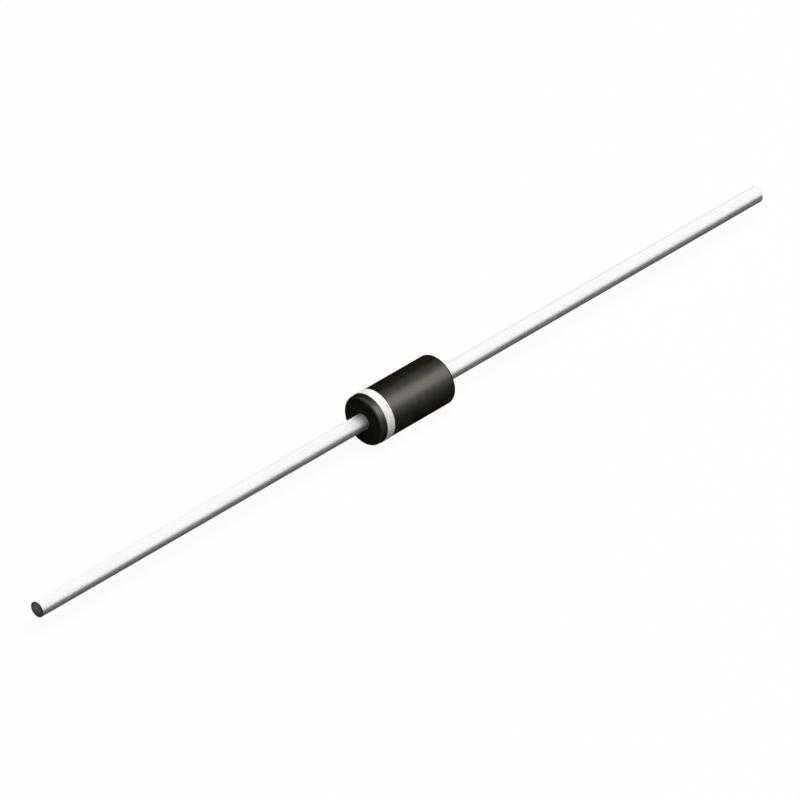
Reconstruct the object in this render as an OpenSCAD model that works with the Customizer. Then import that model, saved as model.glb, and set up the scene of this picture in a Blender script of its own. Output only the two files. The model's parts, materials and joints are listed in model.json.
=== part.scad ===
// Axial-lead rectifier diode in a moulded epoxy body.
// Millimetres. The origin is the body's centre on the leads' common axis. +X points from the banded cathode end
// to the anode end, and +Z is up.
//
// Inside, the die is soldered between the nail heads of the two leads. A bead of silicone seals its edge, and the
// epoxy is moulded round the whole stack, so every piece meets its neighbours face to face.

/* [Body] */
// Diameter of the moulded body
body_d = 2.7; // [2.4:0.05:3.6]
// Length of the moulded body
body_l = 5.2; // [4:0.1:7.6]
// Radius of the round at both rims of the body
body_edge_r = 0.15; // [0.05:0.01:0.3]

/* [Cathode band] */
// Distance from the cathode end face to the band
band_inset = 0.38; // [0.3:0.02:0.9]
// Width of the band along the body
band_w = 0.52; // [0.3:0.02:1.2]
// Thickness of the printed ink
band_t = 0.02; // [0.01:0.005:0.05]

/* [Leads] */
// Diameter of the wire
lead_d = 0.86; // [0.5:0.02:1]
// Length of each wire outside the body
lead_l = 22.6; // [5:0.2:28]
// Extra diameter that heading leaves in the wire at its nail head, fading out towards the end face
lead_swell = 0.06; // [0.02:0.01:0.12]

/* [Nail heads] */
// Diameter of each nail head
head_d = 1.5; // [1.4:0.05:1.7]
// Thickness of each nail head
head_t = 0.35; // [0.25:0.01:0.5]
// Radius of the round at a nail head's rim
head_edge_r = 0.08; // [0.03:0.01:0.1]
// Radius of the fillet between a nail head and its wire
head_fillet_r = 0.12; // [0.05:0.01:0.15]

/* [Silicon die] */
// Side of the square die
die_w = 1; // [0.7:0.02:1.1]
// Thickness of the die
die_t = 0.25; // [0.18:0.01:0.32]
// Depth of the etched slope round the mesa
mesa_depth = 0.1; // [0.05:0.01:0.15]
// How far the slope draws each side of the mesa in
mesa_inset = 0.07; // [0.03:0.01:0.1]

/* [Solder] */
// Thickness of each solder disc
solder_t = 0.06; // [0.03:0.01:0.1]
// Margin between a solder disc and the edge of the silicon that it joins
solder_margin = 0.03; // [0.01:0.01:0.08]

/* [Junction coating] */
// How far the bead laps over each nail head's rim
coating_lap = 0.2; // [0.1:0.01:0.25]
// Thickness of the bead where it ends on a nail head's rim
coating_t = 0.07; // [0.04:0.01:0.1]
// How far the bead bulges out between its two ends
coating_bulge = 0.16; // [0.08:0.01:0.2]

/* [Hidden] */
$fn = 96;

// Radii from the axis, and half lengths from the middle of the die
body_r = body_d / 2;
body_half = body_l / 2;
lead_r = lead_d / 2;
lead_end = body_half + lead_l;
head_r = head_d / 2;
head_face = die_t / 2 + solder_t;
head_back = head_face + head_t;
neck_r = lead_r + lead_swell / 2;
mesa_w = die_w - 2 * mesa_inset;

// The bead's outline is the arc of a circle through its two ends and its crown
coating_half = head_face + coating_lap;
coating_end_r = head_r + coating_t;
coating_arc_r = (coating_half * coating_half + coating_bulge * coating_bulge) / (2 * coating_bulge);
coating_arc_centre = coating_end_r + coating_bulge - coating_arc_r;

// Turns half profiles, drawn as radius against height, into a solid round the X axis
module turned() {
    rotate([0, 90, 0])
        rotate_extrude()
            children();
}

// A plain disc in profile, from height z0 to z1
module disc_profile(r, z0, z1) {
    translate([0, z0])
        square([r, z1 - z0]);
}

// A disc in profile with its rim rounded on both sides
module rounded_disc_profile(r, z0, z1, edge_r) {
    disc_profile(r - edge_r, z0, z1);
    disc_profile(r, z0 + edge_r, z1 - edge_r);
    for (z = [z0 + edge_r, z1 - edge_r])
        translate([r - edge_r, z])
            circle(edge_r);
}

// The fillet that runs from the nail head's back into the neck
module head_fillet_profile() {
    translate([neck_r, head_back])
        difference() {
            square(head_fillet_r);
            translate([head_fillet_r, head_fillet_r])
                circle(head_fillet_r);
        }
}

// One lead: nail head, fillet, neck that tapers down to the end face, and plain wire to the cut end
module lead_profile() {
    neck_start = head_back + head_fillet_r;
    rounded_disc_profile(head_r, head_face, head_back, head_edge_r);
    head_fillet_profile();
    disc_profile(neck_r, head_back, neck_start);
    polygon([[0, neck_start], [neck_r, neck_start], [lead_r, body_half], [0, body_half]]);
    disc_profile(lead_r, body_half, lead_end);
}

// Both leads, each on its own side of the die
module both_leads_profile() {
    lead_profile();
    mirror([0, 1])
        lead_profile();
}

// The bead's outer form, as if it held nothing
module bead_profile() {
    disc_profile(coating_end_r, -coating_half, coating_half);
    intersection() {
        disc_profile(coating_end_r + coating_bulge, -coating_half, coating_half);
        translate([coating_arc_centre, 0])
            circle(coating_arc_r);
    }
}

// Solder discs: the cathode's covers the die's full face, and the anode's covers the mesa
module cathode_solder_profile() {
    disc_profile(die_w / 2 - solder_margin, -head_face, -die_t / 2);
}

module anode_solder_profile() {
    disc_profile(mesa_w / 2 - solder_margin, die_t / 2, head_face);
}

// A bar along Z with the die's section: square to the cathode side, sloping in to the mesa on the anode side
module die_bar() {
    linear_extrude(2 * die_w, center = true)
        polygon([
            [-die_t / 2, -die_w / 2],
            [die_t / 2 - mesa_depth, -die_w / 2],
            [die_t / 2, -mesa_w / 2],
            [die_t / 2, mesa_w / 2],
            [die_t / 2 - mesa_depth, die_w / 2],
            [-die_t / 2, die_w / 2]
        ]);
}

// Two such bars crossed at a right angle leave the square die with its four sloping sides
module die_form() {
    intersection() {
        die_bar();
        rotate([90, 0, 0])
            die_bar();
    }
}

module epoxy_body() {
    color([0.09, 0.085, 0.08])
        turned()
            difference() {
                rounded_disc_profile(body_r, -body_half, body_half, body_edge_r);
                both_leads_profile();
                bead_profile();
            }
}

module cathode_band() {
    color([0.95, 0.94, 0.92])
        turned()
            translate([body_r, band_inset - body_half])
                square([band_t, band_w]);
}

module anode_lead() {
    color([0.8, 0.8, 0.78])
        turned()
            lead_profile();
}

module cathode_lead() {
    mirror([1, 0, 0])
        anode_lead();
}

module cathode_solder() {
    color([0.6, 0.61, 0.63])
        turned()
            cathode_solder_profile();
}

module anode_solder() {
    color([0.6, 0.61, 0.63])
        turned()
            anode_solder_profile();
}

module silicon_die() {
    color([0.33, 0.35, 0.4])
        die_form();
}

module junction_coating() {
    color([0.92, 0.93, 0.94, 0.8])
        difference() {
            turned()
                difference() {
                    bead_profile();
                    both_leads_profile();
                    cathode_solder_profile();
                    anode_solder_profile();
                }
            die_form();
        }
}

epoxy_body();
cathode_band();
cathode_lead();
anode_lead();
cathode_solder();
anode_solder();
silicon_die();
junction_coating();
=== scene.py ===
"""Dresses an axial rectifier diode: moulded body, printed band, drawn leads and the sealed pieces inside.

Lengths are in metres. The origin is the body's centre on the leads' common axis. +X points from the banded
cathode end to the anode end, and +Z is up.
"""

import json
import math

import bpy
from bpy.props import FloatProperty, FloatVectorProperty, IntProperty, PointerProperty
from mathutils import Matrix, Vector, noise


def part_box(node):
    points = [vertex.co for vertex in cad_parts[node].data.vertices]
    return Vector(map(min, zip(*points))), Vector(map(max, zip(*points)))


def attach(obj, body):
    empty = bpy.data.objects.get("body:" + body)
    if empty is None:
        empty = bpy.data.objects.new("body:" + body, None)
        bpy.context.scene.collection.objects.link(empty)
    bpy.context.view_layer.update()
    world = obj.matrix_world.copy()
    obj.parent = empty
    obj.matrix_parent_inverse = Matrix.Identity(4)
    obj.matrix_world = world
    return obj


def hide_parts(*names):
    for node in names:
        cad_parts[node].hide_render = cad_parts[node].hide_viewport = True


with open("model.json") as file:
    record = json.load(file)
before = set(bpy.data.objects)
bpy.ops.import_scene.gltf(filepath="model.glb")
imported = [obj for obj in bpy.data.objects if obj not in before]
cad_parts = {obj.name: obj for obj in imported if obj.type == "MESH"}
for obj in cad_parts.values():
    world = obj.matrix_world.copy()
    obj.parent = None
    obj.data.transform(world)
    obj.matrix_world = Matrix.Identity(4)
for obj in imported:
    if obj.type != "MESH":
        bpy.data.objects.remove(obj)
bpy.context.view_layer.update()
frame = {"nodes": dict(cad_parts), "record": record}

bl_info = {
    "name": "Axial Rectifier Diode",
    "version": (1, 0, 0),
    "blender": (4, 5, 0),
    "location": "View3D > Sidebar > Diode",
    "description": "Builds the finished pieces of an axial rectifier diode round its packed solids",
    "category": "Object",
}

MM = 0.001

# ---------------------------------------------------------------- sizes that the packed solids give

BODY_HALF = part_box("epoxy_body")[1].x
BODY_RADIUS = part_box("epoxy_body")[1].z
BAND_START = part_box("cathode_band")[0].x
BAND_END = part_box("cathode_band")[1].x
BAND_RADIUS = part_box("cathode_band")[1].z
HEAD_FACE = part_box("anode_lead")[0].x
HEAD_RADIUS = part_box("anode_lead")[1].z
LEAD_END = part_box("anode_lead")[1].x
BEAD_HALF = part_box("junction_coating")[1].x
BEAD_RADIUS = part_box("junction_coating")[1].z
PIN = next(m for m in frame["record"]["mounts"] if m["name"] == "anode_lead")
LEAD_RADIUS = PIN["dims"]["r_mm"] * MM


# ---------------------------------------------------------------- sizes and colours that a user would change


def length(name, default, description):
    """A length in metres, shown in the scene's units."""
    return FloatProperty(name=name, description=description, default=default, unit="LENGTH", precision=6)


def share(name, default, description):
    """A number from 0 to 1."""
    return FloatProperty(name=name, description=description, default=default, min=0, max=1)


def colour(name, default, description):
    """A linear colour."""
    return FloatVectorProperty(
        name=name, description=description, default=default, subtype="COLOR", min=0, max=1
    )


def power(name, default, description):
    """A lamp's power in watts."""
    return FloatProperty(name=name, description=description, default=default, unit="POWER")


class BodySettings(bpy.types.PropertyGroup):
    """The moulded body."""

    rim: length("Rim radius", 0.15 * MM, "Radius of the round at both rims of the body")
    flash: length("Parting line height", 0.006 * MM, "How far the mould's parting line stands up")
    flash_width: length("Parting line width", 0.025 * MM, "Half width of the mould's parting line")
    flash_turn: FloatProperty(
        name="Parting line turn",
        description="Angle about the axis at which the two halves of the mould met",
        default=math.radians(50),
        subtype="ANGLE",
    )
    facets: IntProperty(name="Facets", description="Faces round the body", default=144, min=24)


class BandSettings(bpy.types.PropertyGroup):
    """The printed cathode band."""

    waver: length("Edge waver", 0.008 * MM, "How far the ink's edges wander")
    edge: length("Edge round", 0.006 * MM, "How far the ink thins towards its edges")
    facets: IntProperty(name="Facets", description="Faces round the band", default=180, min=24)


class LeadSettings(bpy.types.PropertyGroup):
    """The two headed leads."""

    head: length("Nail head thickness", 0.35 * MM, "Thickness of the nail head inside the body")
    head_rim: length("Nail head rim", 0.08 * MM, "Radius of the round at the nail head's rim")
    fillet: length("Neck fillet", 0.12 * MM, "Radius of the fillet between the nail head and the wire")
    swell: length("Neck swell", 0.03 * MM, "How far the neck behind the nail head stands over the wire")
    bead_end: length("Bead end", 0.07 * MM, "Thickness of the silicone bead where it ends on a nail head")
    cut_edge: length("Cut edge", 0.015 * MM, "Radius that the shear leaves on the cut end's edge")
    cut_depth: length("Cut relief", 0.012 * MM, "Depth of the marks that the shear leaves in the cut end")
    facets: IntProperty(name="Facets", description="Faces round the wire", default=96, min=24)


class FinishSettings(bpy.types.PropertyGroup):
    """The finishes."""

    epoxy: colour("Epoxy", (0.0066, 0.0060, 0.0050), "Black moulding compound")
    epoxy_roughness: share("Epoxy roughness", 0.38, "Mean roughness of the moulding compound")
    epoxy_gloss: share("Epoxy gloss", 0.3, "Specular level of the moulding compound seen square on")
    ink: colour("Ink", (0.90, 0.89, 0.87), "White printing ink")
    ink_roughness: share("Ink roughness", 0.5, "Mean roughness of the printing ink")
    tin: colour("Tin", (0.985, 0.982, 0.975), "Tin plate on the wires")
    tin_roughness: share("Tin roughness", 0.44, "Mean roughness of the tin plate")
    cut: colour("Cut end", (0.176, 0.164, 0.148), "Metal bared and smeared by the shear")
    solder: colour("Solder", (0.56, 0.57, 0.59), "Dull solder between the die and the nail heads")
    silicon: colour("Silicon", (0.20, 0.21, 0.24), "Etched silicon")
    silicone: colour("Silicone", (0.85, 0.86, 0.86), "Milky junction coating")


class StageSettings(bpy.types.PropertyGroup):
    """The floor, the lamps and the camera."""

    floor_gap: length("Floor gap", 0.03 * MM, "Gap between the band and the floor")
    sky: share("Sky light", 0.10, "Strength of the even light from all round")
    key: power("Key lamp", 3.3, "Power of the soft key lamp")
    sheen: power("Body lamp", 14.0, "Power of the body's own lamp")
    sheen_colour: colour("Body lamp colour", (1.0, 0.93, 0.80), "Tint of the body's own lamp")
    card: colour("Card", (0.07, 0.07, 0.067), "Dark card that the wires' undersides mirror")
    view_width: length("View width", 39.62 * MM, "Width of the picture at the body")
    lens: FloatProperty(
        name="Lens",
        description="Focal length, long enough for almost parallel lines of sight",
        default=1500,
        unit="CAMERA",
    )


GROUPS = {
    "diode_body": BodySettings,
    "diode_band": BandSettings,
    "diode_leads": LeadSettings,
    "diode_finishes": FinishSettings,
    "diode_stage": StageSettings,
}


# ---------------------------------------------------------------- outlines, as points of (x, radius)

# Steps along each round.
RIM_STEPS = 10
HEAD_STEPS = 5
FILLET_STEPS = 6
BEAD_STEPS = 16
CUT_EDGE_STEPS = 4

# Spacing of the points along the straight stretches.
SKIN_STEP = 0.5 * MM
WIRE_STEP = 0.8 * MM
INK_STEP = 0.06 * MM

# A flat has a point this share of the round's radius before the round, so that it is shaded flat.
EASE = 0.1

# The wire's first own point outside the body, measured from the end face.
WIRE_START = 0.2 * MM

# Rings of points that carry the cut end's relief, as shares of the wire's radius.
CUT_RINGS = (0.93, 0.84, 0.72, 0.58, 0.44, 0.30, 0.15)


def arc(centre_x, centre_r, radius, start, end, steps):
    """Points along an arc between two angles in degrees, where 0 is +X and 90 is away from the axis."""
    points = []
    for i in range(steps + 1):
        angle = math.radians(start + (end - start) * i / steps)
        points.append((centre_x + radius * math.cos(angle), centre_r + radius * math.sin(angle)))
    return points


def run(start, end, radius, step):
    """Points along a straight cylinder, about a step apart, with both its ends."""
    count = max(1, round(abs(end - start) / step))
    return [(start + (end - start) * i / count, radius) for i in range(count + 1)]


def mirrored(outline):
    """The same outline on the other side of the die, still running towards +X."""
    return [(-x, r) for x, r in reversed(outline)]


def head_outline(leads):
    """A nail head and its neck inside the body, from the head's face to the body's end face."""
    back = HEAD_FACE + leads.head
    neck = LEAD_RADIUS + leads.swell
    rim = leads.head_rim
    return [
        (HEAD_FACE, HEAD_RADIUS - 1.2 * rim),
        *arc(HEAD_FACE + rim, HEAD_RADIUS - rim, rim, 180, 90, HEAD_STEPS),
        *arc(back - rim, HEAD_RADIUS - rim, rim, 90, 0, HEAD_STEPS),
        *arc(back + leads.fillet, neck + leads.fillet, leads.fillet, 180, 270, FILLET_STEPS),
        (BODY_HALF, LEAD_RADIUS),
    ]


def bead_outline(leads):
    """The crown of the silicone bead, between its two ends on the nail heads."""
    end = HEAD_RADIUS + leads.bead_end
    bulge = BEAD_RADIUS - end
    radius = (BEAD_HALF ** 2 + bulge ** 2) / (2 * bulge)
    reach = math.degrees(math.asin(BEAD_HALF / radius))
    return arc(0, BEAD_RADIUS - radius, radius, 90 + reach, 90 - reach, BEAD_STEPS)


def body_outline(body, leads):
    """The moulded body: its skin towards +X, then back along the space that the leads and the bead fill."""
    rim = body.rim
    ease = EASE * rim
    edge = BODY_RADIUS - rim
    face = [(BODY_HALF, edge - ease), (BODY_HALF, LEAD_RADIUS + ease)]
    skin = [
        *mirrored(face),
        *arc(-BODY_HALF + rim, edge, rim, 180, 90, RIM_STEPS),
        *run(-BODY_HALF + rim + ease, BODY_HALF - rim - ease, BODY_RADIUS, SKIN_STEP),
        *arc(BODY_HALF - rim, edge, rim, 90, 0, RIM_STEPS),
        *face,
    ]
    head = [(x, r) for x, r in head_outline(leads) if x >= BEAD_HALF]
    hollow = [(BEAD_HALF, HEAD_RADIUS), *head]
    space = [*mirrored(hollow), *bead_outline(leads), *hollow]
    return skin + space[::-1]


def lead_outline(leads):
    """The anode lead, from the middle of its nail head's face to the middle of its cut end."""
    edge = leads.cut_edge
    return [
        (HEAD_FACE, 0),
        *head_outline(leads),
        *run(BODY_HALF + WIRE_START, LEAD_END - edge, LEAD_RADIUS, WIRE_STEP),
        *arc(LEAD_END - edge, LEAD_RADIUS - edge, edge, 75, 0, CUT_EDGE_STEPS),
        *((LEAD_END, ring * LEAD_RADIUS) for ring in CUT_RINGS),
        (LEAD_END, 0),
    ]


def band_outline(edge):
    """The ink ring, rounded where the ink thins at its two edges."""
    inside = BODY_RADIUS
    film = BAND_RADIUS - BODY_RADIUS
    return [
        (BAND_START, inside),
        (BAND_START + 0.3 * edge, inside + 0.7 * film),
        (BAND_START + edge, BAND_RADIUS),
        *run(BAND_START + 3 * edge, BAND_END - 3 * edge, BAND_RADIUS, INK_STEP),
        (BAND_END - edge, BAND_RADIUS),
        (BAND_END - 0.3 * edge, inside + 0.7 * film),
        (BAND_END, inside),
    ]


# ---------------------------------------------------------------- meshes turned round the leads' axis

# Two faces that meet at more than this keep a sharp edge between them.
SHARP_ANGLE = math.radians(32)


def turned_piece(name, outline, angles, shape, ring=False):
    """Turns an outline that runs towards +X into one closed mesh and returns its object.

    A point on the axis becomes one vertex. shape(x, radius, angle) gives any other point's own x and radius.
    ring joins the outline's last point to its first.
    """
    corners = []
    rows = []
    for x, radius in outline:
        if radius == 0:
            rows.append([len(corners)] * len(angles))
            corners.append((x, 0, 0))
            continue
        rows.append(list(range(len(corners), len(corners) + len(angles))))
        for angle in angles:
            place, reach = shape(x, radius, angle)
            corners.append((place, reach * math.cos(angle), reach * math.sin(angle)))
    strips = list(zip(rows, rows[1:]))
    if ring:
        strips.append((rows[-1], rows[0]))
    faces = []
    for near, far in strips:
        for i in range(len(angles)):
            j = (i + 1) % len(angles)
            faces.append(list(dict.fromkeys((near[i], near[j], far[j], far[i]))))
    mesh = bpy.data.meshes.new(name)
    mesh.from_pydata(corners, [], faces)
    mesh.validate()
    mesh.shade_smooth()
    mesh.set_sharp_from_angle(angle=SHARP_ANGLE)
    piece = bpy.data.objects.new(name, mesh)
    bpy.context.scene.collection.objects.link(piece)
    return piece


def even_angles(count):
    """Angles in equal steps round the axis."""
    return [math.tau * i / count for i in range(count)]


def seated(piece, node, slot, *materials):
    """Gives a piece its finishes, and stands it in for its packed solid."""
    for material in materials:
        piece.data.materials.append(material)
    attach(piece, "root")
    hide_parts(node)


# ---------------------------------------------------------------- finishes

# Between these two turns away from the eye, from 0 square on to 1 edge on, a satin skin loses its gloss.
GLOSS_FADE = (0.2, 0.44)


class Reading:
    """A socket of a finish that counts: each sign adds the Math node that works it out."""

    def __init__(self, finish, socket):
        self.finish = finish
        self.socket = socket

    def sum(self, operation, first, second):
        """One Math node of two values."""
        sockets = {"Value": first, "Value_001": second}
        return self.finish.node("ShaderNodeMath", {"operation": operation}, sockets)["Value"]

    def __add__(self, other):
        return self.sum("ADD", self, other)

    def __radd__(self, other):
        return self.sum("ADD", other, self)

    def __sub__(self, other):
        return self.sum("SUBTRACT", self, other)

    def __rsub__(self, other):
        return self.sum("SUBTRACT", other, self)

    def __mul__(self, other):
        return self.sum("MULTIPLY", self, other)

    def __rmul__(self, other):
        return self.sum("MULTIPLY", other, self)

    def __truediv__(self, other):
        return self.sum("DIVIDE", self, other)

    def __pow__(self, other):
        return self.sum("POWER", self, other)

    def __abs__(self):
        return self.sum("ABSOLUTE", self, 0.0)

    def within(self, low, high):
        """How far the value has come from low to high, eased, from 0 to 1."""
        sockets = {"Value": self, "From Min": low, "From Max": high}
        return self.finish.node("ShaderNodeMapRange", {"interpolation_type": "SMOOTHSTEP"}, sockets)["Result"]


class Finish:
    """A material, or the world, while its nodes are laid."""

    def __init__(self, owner):
        owner.use_nodes = True
        self.owner = owner
        self.tree = owner.node_tree
        self.tree.nodes.clear()

    def node(self, kind, settings=None, sockets=None):
        """Adds a node: first its settings, then the values or links of its sockets by their identifiers."""
        made = self.tree.nodes.new(kind)
        for name, value in (settings or {}).items():
            setattr(made, name, value)
        for name, value in (sockets or {}).items():
            socket = next(s for s in made.inputs if s.identifier == name)
            if isinstance(value, Reading):
                self.tree.links.new(value.socket, socket)
            else:
                socket.default_value = value
        return {s.identifier: Reading(self, s) for s in made.outputs}

    def place(self, stretch=(1, 1, 1)):
        """Places on the piece in the part's own frame, each axis multiplied by its stretch."""
        here = self.node("ShaderNodeTexCoord")["Object"]
        if stretch == (1, 1, 1):
            return here
        sockets = {"Vector": here, "Vector_001": stretch}
        return self.node("ShaderNodeVectorMath", {"operation": "MULTIPLY"}, sockets)["Vector"]

    def axes(self):
        """The three coordinates of a place on the piece."""
        parts = self.node("ShaderNodeSeparateXYZ", None, {"Vector": self.place()})
        return parts["X"], parts["Y"], parts["Z"]

    def clouds(self, place, size, detail, roughness=0.5):
        """Soft noise with patches of about a size, from 0 to 1."""
        sockets = {"Vector": place, "Scale": 1 / size, "Detail": detail, "Roughness": roughness}
        return self.node("ShaderNodeTexNoise", None, sockets)["Fac"]

    def dots(self, place, size):
        """Scattered dots about a size apart: how far the nearest one is, in sizes."""
        return self.node("ShaderNodeTexVoronoi", None, {"Vector": place, "Scale": 1 / size})["Distance"]

    def blend(self, first, second, amount):
        """A colour between two others."""
        sockets = {"Factor_Float": amount, "A_Color": first, "B_Color": second}
        return self.node("ShaderNodeMix", {"data_type": "RGBA"}, sockets)["Result_Color"]

    def relief(self, height, depth, strength):
        """A normal bent by a height of 0 to 1 that stands for a depth in metres."""
        sockets = {"Height": height, "Distance": depth, "Strength": strength}
        return self.node("ShaderNodeBump", None, sockets)["Normal"]

    def skin(self, sockets):
        """Ends a material in one Principled shader."""
        shader = self.node("ShaderNodeBsdfPrincipled", None, sockets)["BSDF"]
        self.node("ShaderNodeOutputMaterial", None, {"Surface": shader})
        return self.owner

    def satin_skin(self, sockets, gloss):
        """Ends a material in a skin whose gloss shows square on and is gone where it is seen aslant."""
        facing = self.node("ShaderNodeLayerWeight", None, {"Blend": 0.5})["Facing"]
        shiny = self.node("ShaderNodeBsdfPrincipled", None, {**sockets, "Specular IOR Level": gloss})["BSDF"]
        matt = self.node("ShaderNodeBsdfPrincipled", None, {**sockets, "Specular IOR Level": 0.0})["BSDF"]
        ends = {"Fac": facing.within(*GLOSS_FADE), "Shader": shiny, "Shader_001": matt}
        mixed = self.node("ShaderNodeMixShader", None, ends)["Shader"]
        self.node("ShaderNodeOutputMaterial", None, {"Surface": mixed})
        return self.owner


def new_finish(name):
    """A new material, ready for its nodes."""
    return Finish(bpy.data.materials.new(name))


def toned(tone, scale=1.0):
    """A colour made lighter or darker, with its alpha."""
    return (*(min(1.0, c * scale) for c in tone), 1.0)


def moulding_compound(settings):
    """Black epoxy: the mould's fine grain, cloudy gloss, and grains of pale filler near the skin."""
    finish = new_finish("moulding_compound")
    here = finish.place()
    clouds = finish.clouds(here, 0.6 * MM, detail=3.0)
    grain = finish.clouds(here, 0.05 * MM, detail=3.0, roughness=0.6)
    filler = 1 - finish.dots(here, 0.09 * MM).within(0.10, 0.22)
    tone = finish.blend(toned(settings.epoxy, 0.8), toned(settings.epoxy, 1.2), clouds.within(0.3, 0.7))
    tone = finish.blend(tone, toned(settings.epoxy, 2.6), filler * 0.6)
    sockets = {
        "Base Color": tone,
        "Roughness": settings.epoxy_roughness + (clouds - 0.5) * 0.14 + (grain - 0.5) * 0.12,
        "Normal": finish.relief(grain + filler * 0.15, 0.004 * MM, strength=0.5),
    }
    return finish.satin_skin(sockets, settings.epoxy_gloss)


def printing_ink(settings):
    """White pad-printed ink: slightly uneven cover, thinner at its edges, with a few pinholes."""
    finish = new_finish("printing_ink")
    here = finish.place()
    along = finish.axes()[0]
    middle = (BAND_START + BAND_END) / 2
    half = (BAND_END - BAND_START) / 2
    cover = finish.clouds(here, 0.25 * MM, detail=3.0)
    grain = finish.clouds(here, 0.03 * MM, detail=3.0)
    edge = abs(along - middle).within(half - 0.05 * MM, half)
    pinhole = 1 - finish.dots(here, 0.16 * MM).within(0.05, 0.09)
    tone = finish.blend(toned(settings.ink, 0.94), toned(settings.ink), cover.within(0.3, 0.65))
    tone = finish.blend(tone, toned(settings.ink, 0.72), edge * grain)
    tone = finish.blend(tone, toned(settings.ink, 0.6), pinhole * 0.5)
    return finish.skin({
        "Base Color": tone,
        "Roughness": settings.ink_roughness + (cover - 0.5) * 0.2,
        "Specular IOR Level": 0.35,
        "Normal": finish.relief(grain + cover, 0.003 * MM, strength=0.5),
    })


def tin_plate(settings):
    """Tin over drawn wire: faint die lines along the wire, and soft patches of duller plate."""
    finish = new_finish("tin_plate")
    here = finish.place()
    lines = finish.clouds(finish.place((0.012, 1, 1)), 0.035 * MM, detail=3.0, roughness=0.6)
    patches = finish.clouds(finish.place((0.3, 1, 1)), 0.35 * MM, detail=3.0)
    grain = finish.clouds(here, 0.03 * MM, detail=2.0)
    tone = finish.blend(toned(settings.tin, 0.95), toned(settings.tin), lines.within(0.25, 0.7))
    tone = finish.blend(tone, toned(settings.tin, 0.93), patches.within(0.55, 0.8) * 0.6)
    return finish.skin({
        "Base Color": tone,
        "Metallic": 1.0,
        "Roughness": settings.tin_roughness + (lines - 0.5) * 0.16 + (patches - 0.5) * 0.12,
        "Normal": finish.relief(lines + grain * 0.4, 0.0025 * MM, strength=0.6),
    })


def sheared_metal(settings):
    """A cut end: plate smeared over the rim, shear lines across it, and a brighter torn middle."""
    finish = new_finish("sheared_metal")
    here = finish.place()
    across, up = finish.axes()[1:]
    radius = (across * across + up * up) ** 0.5 / LEAD_RADIUS
    lines = finish.clouds(finish.place((1, 1, 0.12)), 0.04 * MM, detail=3.0)
    grain = finish.clouds(here, 0.05 * MM, detail=3.0)
    middle = 1 - (radius + (grain - 0.5) * 0.3).within(0.25, 0.95)
    tone = finish.blend(toned(settings.cut, 0.7), toned(settings.cut, 1.5), middle)
    tone = finish.blend(tone, toned(settings.cut, 0.5), lines.within(0.5, 0.8) * 0.5)
    return finish.skin({
        "Base Color": tone,
        "Metallic": 1.0,
        "Roughness": 0.42 + (lines - 0.5) * 0.2 + (grain - 0.5) * 0.15,
        "Normal": finish.relief(lines + grain, 0.006 * MM, strength=0.7),
    })


def dull_solder(settings):
    """Solder frozen in grains, each with its own tone and gloss."""
    finish = new_finish("dull_solder")
    here = finish.place()
    grains = finish.dots(here, 0.12 * MM)
    dendrites = finish.clouds(here, 0.03 * MM, detail=4.0, roughness=0.6)
    tone = finish.blend(toned(settings.solder, 0.75), toned(settings.solder, 1.2), grains)
    return finish.skin({
        "Base Color": tone,
        "Metallic": 1.0,
        "Roughness": 0.45 + (dendrites - 0.5) * 0.3,
        "Normal": finish.relief(dendrites + grains * 0.5, 0.006 * MM, strength=0.6),
    })


def etched_silicon(settings):
    """Silicon after its etch: soft pits, and a slight drift of tone across the die."""
    finish = new_finish("etched_silicon")
    here = finish.place()
    drift = finish.clouds(here, 0.5 * MM, detail=2.0)
    pits = 1 - finish.dots(here, 0.05 * MM).within(0.1, 0.4)
    tone = finish.blend(toned(settings.silicon, 0.8), toned(settings.silicon, 1.3), drift)
    tone = finish.blend(tone, toned(settings.silicon, 0.6), pits * 0.5)
    return finish.skin({
        "Base Color": tone,
        "Metallic": 0.3,
        "Roughness": 0.3 + pits * 0.25,
        "Normal": finish.relief(1 - pits, 0.004 * MM, strength=0.6),
    })


def milky_silicone(settings):
    """Cured silicone: cloudy inside, with a few small bubbles under a smooth skin."""
    finish = new_finish("milky_silicone")
    here = finish.place()
    cloud = finish.clouds(here, 0.3 * MM, detail=3.0)
    bubbles = 1 - finish.dots(here, 0.14 * MM).within(0.12, 0.2)
    tone = finish.blend(toned(settings.silicone, 0.86), toned(settings.silicone), cloud.within(0.3, 0.7))
    tone = finish.blend(tone, toned(settings.silicone, 1.1), bubbles * 0.7)
    return finish.skin({
        "Base Color": tone,
        "Roughness": 0.32 + (cloud - 0.5) * 0.15,
        "Normal": finish.relief(cloud + bubbles * 0.2, 0.01 * MM, strength=0.4),
    })


# ---------------------------------------------------------------- one step for each piece

# Extra lines of points along the parting line, in half widths from its middle.
FLASH_LINES = (-2.0, -1.2, -0.6, 0.0, 0.6, 1.2, 2.0)

# Wavers of the ink's edge in one radius, and how many times finer the small ones among them are.
WAVER_SCALE = 6
WAVER_FINER = 4

# The cut end's relief: the share of the radius that it covers, the size of its marks, and the squeeze of Z in
# their noise that draws them out upwards.
CUT_FLAT = 0.95
CUT_MARK = 0.2 * MM
CUT_SQUEEZE = 0.4


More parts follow.
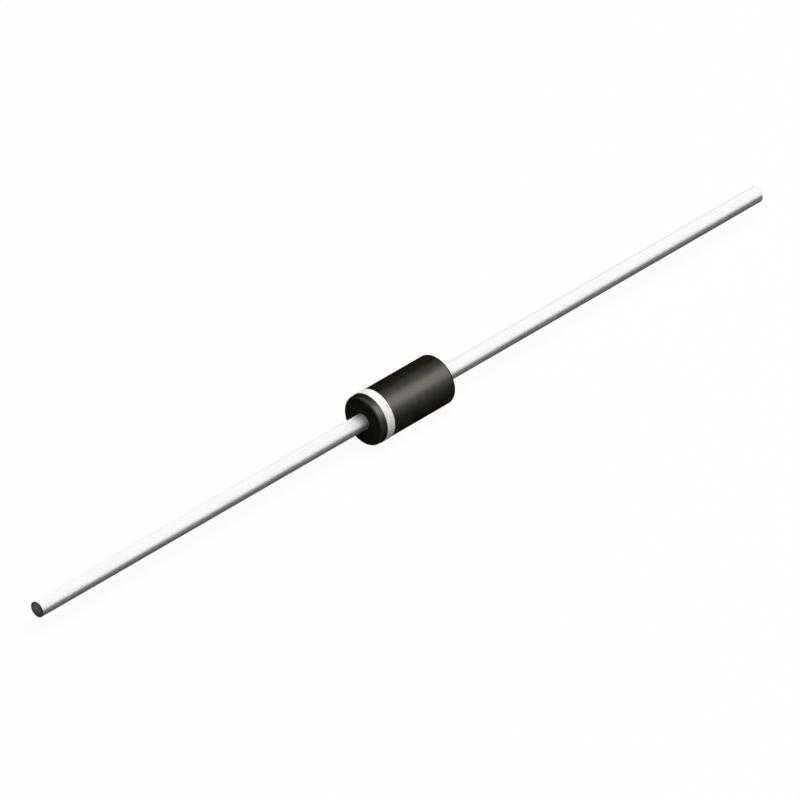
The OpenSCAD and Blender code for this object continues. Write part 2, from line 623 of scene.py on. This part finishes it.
class DIODE_OT_mould_body(bpy.types.Operator):
    """Moulds the epoxy body round the leads and the bead, with rounded rims and a faint parting line"""

    bl_idname = "diode.mould_body"
    bl_label = "Mould the body"

    def execute(self, context):
        body = context.scene.diode_body
        leads = context.scene.diode_leads
        seams = [body.flash_turn, body.flash_turn + math.pi]
        angles = set(even_angles(body.facets))
        for seam in seams:
            for line in FLASH_LINES:
                angles.add((seam + line * body.flash_width / BODY_RADIUS) % math.tau)

        def flash(x, radius, angle):
            """Lifts the skin where the two halves of the mould met."""
            rise = (radius - BODY_RADIUS + body.rim) / body.rim
            if rise <= 0:
                return x, radius
            off = min(abs(math.remainder(angle - seam, math.tau)) for seam in seams)
            ridge = math.exp(-2 * (off * BODY_RADIUS / body.flash_width) ** 2)
            return x, radius + body.flash * ridge * min(1, rise)

        piece = turned_piece("moulded_body", body_outline(body, leads), sorted(angles), flash, ring=True)
        seated(piece, "epoxy_body", "epoxy", moulding_compound(context.scene.diode_finishes))
        return {"FINISHED"}


class DIODE_OT_print_band(bpy.types.Operator):
    """Prints the cathode band as a thin ring of ink with slightly uneven edges"""

    bl_idname = "diode.print_band"
    bl_label = "Print the cathode band"

    def execute(self, context):
        band = context.scene.diode_band
        middle = (BAND_START + BAND_END) / 2

        def wander(x, radius, angle):
            """Draws the ink's edges in a little, more in some places than in others."""
            side = math.copysign(1, x - middle)
            spot = Vector((math.cos(angle), math.sin(angle), side)) * WAVER_SCALE
            inward = band.waver * (0.5 + 0.5 * noise.noise(spot) + 0.3 * noise.noise(spot * WAVER_FINER))
            near_edge = abs(x - middle) / ((BAND_END - BAND_START) / 2)
            return x - side * max(0, inward) * near_edge ** 4, radius

        piece = turned_piece(
            "printed_band", band_outline(band.edge), even_angles(band.facets), wander, ring=True
        )
        seated(piece, "cathode_band", "band_ink", printing_ink(context.scene.diode_finishes))
        return {"FINISHED"}


class DIODE_OT_draw_leads(bpy.types.Operator):
    """Draws the two tinned wires, each with its nail head in the body and its cut end outside"""

    bl_idname = "diode.draw_leads"
    bl_label = "Draw the leads"

    def execute(self, context):
        leads = context.scene.diode_leads
        finishes = context.scene.diode_finishes
        plate = tin_plate(finishes)
        sheared = sheared_metal(finishes)
        angles = even_angles(leads.facets)

        def shear(x, radius, angle):
            """Sinks each cut end unevenly and in its own way, as the shear leaves it."""
            if abs(x) < LEAD_END or radius > CUT_FLAT * LEAD_RADIUS:
                return x, radius
            across = radius * math.cos(angle)
            up = radius * math.sin(angle) * CUT_SQUEEZE
            spot = Vector((math.copysign(3, x), across, up))
            mark = 0.5 + 0.5 * noise.noise(Vector((spot.x, spot.y / CUT_MARK, spot.z / CUT_MARK)))
            return x - math.copysign(leads.cut_depth * mark, x), radius

        outline = lead_outline(leads)
        for name, node, line in (
            ("anode_wire", "anode_lead", outline),
            ("cathode_wire", "cathode_lead", mirrored(outline)),
        ):
            piece = turned_piece(name, line, angles, shear)
            seated(piece, node, "tinned_wire", plate, sheared)
            bare = LEAD_END - leads.cut_edge
            for face in piece.data.polygons:
                face.material_index = int(min(abs(piece.data.vertices[v].co.x) for v in face.vertices) > bare)
        return {"FINISHED"}


class DIODE_OT_finish_junction(bpy.types.Operator):
    """Finishes the sealed pieces: the die, the solder on both its faces and the silicone bead round it"""

    bl_idname = "diode.finish_junction"
    bl_label = "Finish the junction"

    def execute(self, context):
        finishes = context.scene.diode_finishes
        solder = dull_solder(finishes)
        coats = {
            "cathode_solder": solder,
            "anode_solder": solder,
            "silicon_die": etched_silicon(finishes),
            "junction_coating": milky_silicone(finishes),
        }
        for node, material in coats.items():
            solid = frame["nodes"][node]
            if not solid.material_slots:
                raise RuntimeError(f"{node} has no slot for its finish")
            for slot in solid.material_slots:
                slot.material = material
        return {"FINISHED"}


# ---------------------------------------------------------------- the stage

# Each direction points from the part to the lamp or the camera. The clip limits are in camera distances.
CAMERA_TOWARDS = Vector((-1, -1, 1)).normalized()
CLIP_NEAR = 0.1
CLIP_FAR = 5

# The key lamp stands high over the part. The body's own lamp is long, so that its sheen runs from rim to rim.
LAMP_DISTANCE = 0.5
KEY_TOWARDS = Vector((0.25, -0.25, 0.935)).normalized()
KEY_SIZE = (0.45, 0.45)
SHEEN_TOWARDS = Vector((0, -0.588, 0.809)).normalized()
SHEEN_SIZE = (1.4, 0.42)
SHEEN_SHIFT = -0.18

# FLOOR_TONE is the floor's colour where it is seen, and FLOOR_BOUNCE where it only sends light back up.
DISC_SIDES = 256
FLOOR_RADIUS = 2.0
FLOOR_TONE = (0.8, 0.8, 0.8)
FLOOR_BOUNCE = (0.2, 0.2, 0.2)
FLOOR_WHITENESS = 0.95

# The card's edge lies CARD_REACH beyond the leads' axis near the body, and slants across it by CARD_SLANT.
CARD_RADIUS = 0.5
CARD_REACH = 8 * MM
CARD_SLANT = math.radians(11)


def seen(finish):
    """1 on the rays that look at the backdrop: the camera's, and those that metal or glass sends on."""
    path = finish.node("ShaderNodeLightPath")
    total = path["Is Camera Ray"] + path["Is Glossy Ray"] + path["Is Transmission Ray"]
    return finish.node("ShaderNodeClamp", None, {"Value": total})["Result"]


def light_sky(strength):
    """An even sky, white wherever it is seen and much weaker where it only lights."""
    world = bpy.data.worlds.new("white_sky")
    bpy.context.scene.world = world
    finish = Finish(world)
    white = (1, 1, 1, 1)
    lighting = finish.node("ShaderNodeBackground", None, {"Color": white, "Strength": strength})["Background"]
    looked_at = finish.node("ShaderNodeBackground", None, {"Color": white, "Strength": 1.0})["Background"]
    sockets = {"Fac": seen(finish), "Shader": lighting, "Shader_001": looked_at}
    mixed = finish.node("ShaderNodeMixShader", None, sockets)["Shader"]
    finish.node("ShaderNodeOutputWorld", None, {"Surface": mixed})


def stage_disc(name, radius, middle, height, material):
    """A flat disc of the stage."""
    corners = [
        (middle.x + radius * math.cos(angle), middle.y + radius * math.sin(angle), height)
        for angle in even_angles(DISC_SIDES)
    ]
    mesh = bpy.data.meshes.new(name)
    mesh.from_pydata(corners, [], [list(range(len(corners)))])
    mesh.materials.append(material)
    disc = bpy.data.objects.new(name, mesh)
    bpy.context.scene.collection.objects.link(disc)
    return disc


def lay_floor(height):
    """A plain pale floor that shows almost white and keeps the part's soft shadow."""
    finish = new_finish("pale_floor")
    looked_at = seen(finish)
    tone = finish.blend(toned(FLOOR_BOUNCE), toned(FLOOR_TONE), looked_at)
    pale = finish.node("ShaderNodeBsdfDiffuse", None, {"Color": tone})["BSDF"]
    white = finish.node("ShaderNodeEmission", None, {"Color": (1, 1, 1, 1), "Strength": 1.0})["Emission"]
    sockets = {"Fac": looked_at * FLOOR_WHITENESS, "Shader": pale, "Shader_001": white}
    mixed = finish.node("ShaderNodeMixShader", None, sockets)["Shader"]
    finish.node("ShaderNodeOutputMaterial", None, {"Surface": mixed})
    finish.owner.cycles.emission_sampling = "NONE"
    stage_disc("floor", FLOOR_RADIUS, Vector((0, 0)), height, finish.owner)


def lay_card(height, tone):
    """A dark card just over the floor, seen only in mirror images, which the wires' undersides show."""
    finish = new_finish("dark_card")
    shader = finish.node("ShaderNodeBsdfDiffuse", None, {"Color": toned(tone)})["BSDF"]
    finish.node("ShaderNodeOutputMaterial", None, {"Surface": shader})
    middle = Vector((math.sin(CARD_SLANT), -math.cos(CARD_SLANT))) * (CARD_RADIUS - CARD_REACH)
    card = stage_disc("dark_card", CARD_RADIUS, middle, height, finish.owner)
    card.visible_camera = False
    card.visible_diffuse = False
    card.visible_transmission = False
    card.visible_volume_scatter = False
    card.visible_shadow = False


def hang_lamp(name, watts, size, towards, shift=0.0):
    """A soft lamp that faces the part from some way off, shifted along the leads' axis."""
    light = bpy.data.lights.new(name, "AREA")
    light.energy = watts
    light.shape = "RECTANGLE"
    light.size, light.size_y = size
    lamp = bpy.data.objects.new(name, light)
    lamp.location = towards * LAMP_DISTANCE + Vector((shift, 0, 0))
    lamp.rotation_mode = "QUATERNION"
    lamp.rotation_quaternion = towards.to_track_quat("Z", "Y")
    bpy.context.scene.collection.objects.link(lamp)
    return lamp


def share_out(lamp, piece, link_state):
    """Gives a lamp's light to one piece alone with INCLUDE, or to all but that piece with EXCLUDE."""
    receivers = bpy.data.collections.new(f"{lamp.name}_receivers")
    receivers.objects.link(piece)
    receivers.collection_objects[0].light_linking.link_state = link_state
    lamp.light_linking.receiver_collection = receivers


def aim_camera(lens, view_width):
    """A long lens that looks down on the body at equal angles to the three axes."""
    view = bpy.data.cameras.new("camera")
    view.lens = lens
    distance = view_width * lens / view.sensor_width
    view.clip_start = CLIP_NEAR * distance
    view.clip_end = CLIP_FAR * distance
    camera = bpy.data.objects.new("camera", view)
    camera.location = CAMERA_TOWARDS * distance
    camera.rotation_mode = "QUATERNION"
    camera.rotation_quaternion = CAMERA_TOWARDS.to_track_quat("Z", "Y")
    bpy.context.scene.collection.objects.link(camera)
    bpy.context.scene.camera = camera


class DIODE_OT_set_stage(bpy.types.Operator):
    """Lays the floor, hangs the lamps and aims the camera"""

    bl_idname = "diode.set_stage"
    bl_label = "Set the stage"

    def execute(self, context):
        stage = context.scene.diode_stage
        body = context.scene.objects.get("moulded_body")
        if body is None:
            raise RuntimeError("the body is moulded before the stage is set")
        floor = -BAND_RADIUS - stage.floor_gap
        light_sky(stage.sky)
        lay_floor(floor)
        lay_card(floor + 0.5 * stage.floor_gap, stage.card)
        key = hang_lamp("key_lamp", stage.key, KEY_SIZE, KEY_TOWARDS)
        key.visible_glossy = False
        share_out(key, body, "EXCLUDE")
        sheen = hang_lamp("body_lamp", stage.sheen, SHEEN_SIZE, SHEEN_TOWARDS, SHEEN_SHIFT)
        sheen.data.color = stage.sheen_colour
        share_out(sheen, body, "INCLUDE")
        aim_camera(stage.lens, stage.view_width)
        context.scene.view_settings.view_transform = "Standard"
        return {"FINISHED"}


class DIODE_PT_bench(bpy.types.Panel):
    """The diode's pieces and their settings"""

    bl_idname = "DIODE_PT_bench"
    bl_label = "Axial rectifier diode"
    bl_space_type = "VIEW_3D"
    bl_region_type = "UI"
    bl_category = "Diode"

    def draw(self, context):
        for step in STEPS:
            self.layout.operator(step.bl_idname)
        for name, group in GROUPS.items():
            box = self.layout.box()
            box.label(text=group.__doc__)
            for field in group.__annotations__:
                box.prop(getattr(context.scene, name), field)


STEPS = (
    DIODE_OT_mould_body,
    DIODE_OT_print_band,
    DIODE_OT_draw_leads,
    DIODE_OT_finish_junction,
    DIODE_OT_set_stage,
)


def register():
    """Registers the settings, the steps and the panel."""
    for name, group in GROUPS.items():
        bpy.utils.register_class(group)
        setattr(bpy.types.Scene, name, PointerProperty(type=group))
    for step in STEPS:
        bpy.utils.register_class(step)
    bpy.utils.register_class(DIODE_PT_bench)


def unregister():
    """Takes the panel, the steps and the settings away again."""
    bpy.utils.unregister_class(DIODE_PT_bench)
    for step in reversed(STEPS):
        bpy.utils.unregister_class(step)
    for name, group in reversed(GROUPS.items()):
        delattr(bpy.types.Scene, name)
        bpy.utils.unregister_class(group)


def main():
    """Builds the diode step by step."""
    register()
    bpy.ops.diode.mould_body()
    bpy.ops.diode.print_band()
    bpy.ops.diode.draw_leads()
    bpy.ops.diode.finish_junction()
    bpy.ops.diode.set_stage()


if __name__ == "__main__":
    main()
